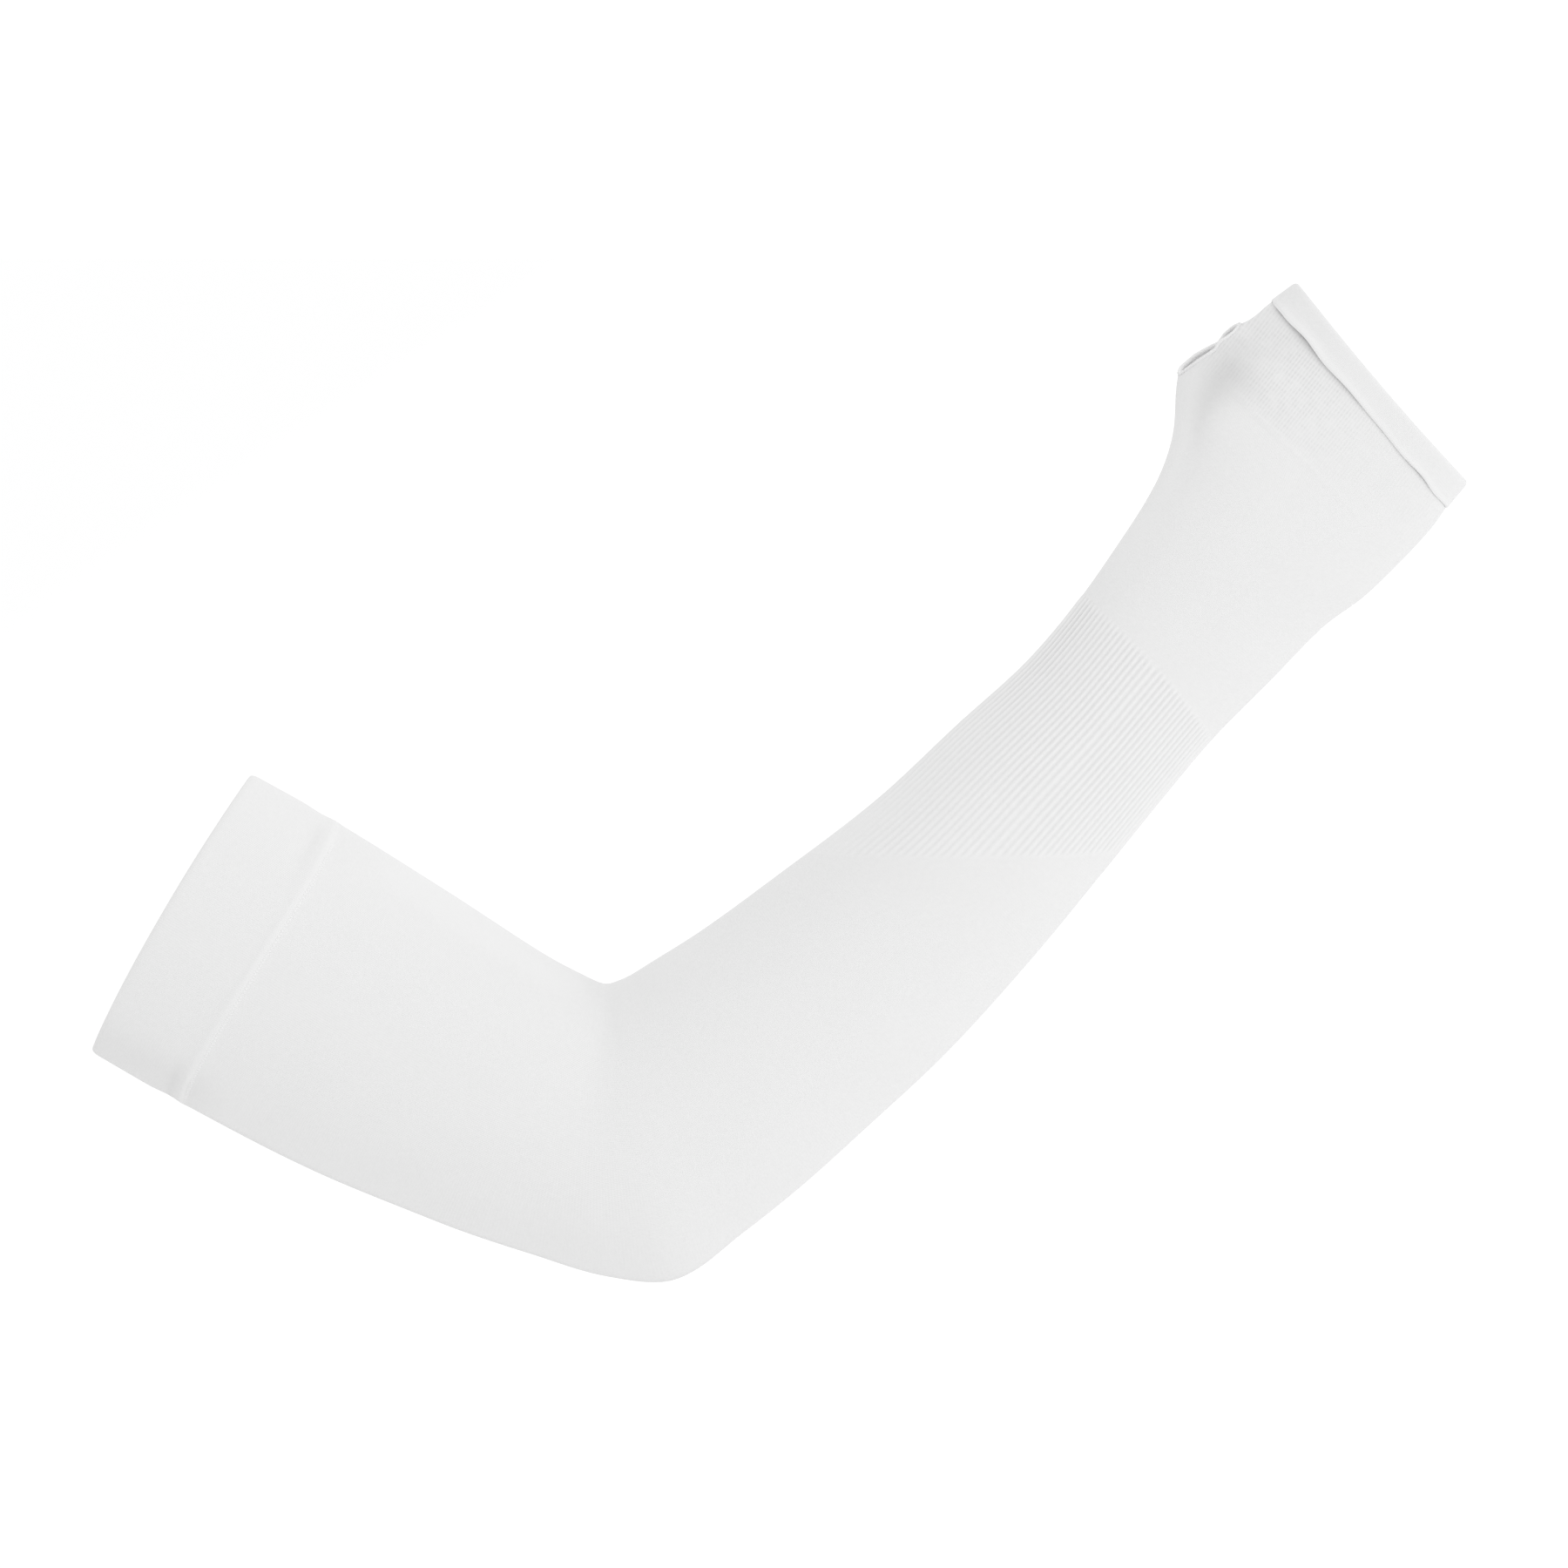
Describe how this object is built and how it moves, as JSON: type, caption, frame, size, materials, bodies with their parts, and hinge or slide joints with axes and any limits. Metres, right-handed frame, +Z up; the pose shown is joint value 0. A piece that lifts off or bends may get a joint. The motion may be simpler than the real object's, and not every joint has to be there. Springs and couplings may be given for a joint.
{
  "type": "arm sleeve",
  "caption": "Knitted arm sleeve with a folded upper hem, ribbed wrist band, thumb hole and hemmed hand opening, in the form it has on a bent arm.",
  "frame": {"origin": "middle of the upper-arm opening", "axes": "+X from the upper arm towards the hand, +Y through the arm and the hand from the face that shows to the far one, +Z up with the elbow at the bottom and the hand at the top"},
  "size_m": [0.4254, 0.0896, 0.309],
  "materials": {
    "knit": "fine plain knit, soft white, matt",
    "welt": "doubled plain knit, soft white, matt",
    "rib": "narrow knitted ribs, soft white, matt",
    "seam": "close white stitching, matt"
  },
  "bodies": {
    "root": {"upper_hem": "welt", "hem_seam": "seam", "arm_tube": "knit", "rib_band": "rib", "hand_cover": "knit", "thumb_edge": "seam", "hand_hem": "welt"}
  },
  "joints": []
}
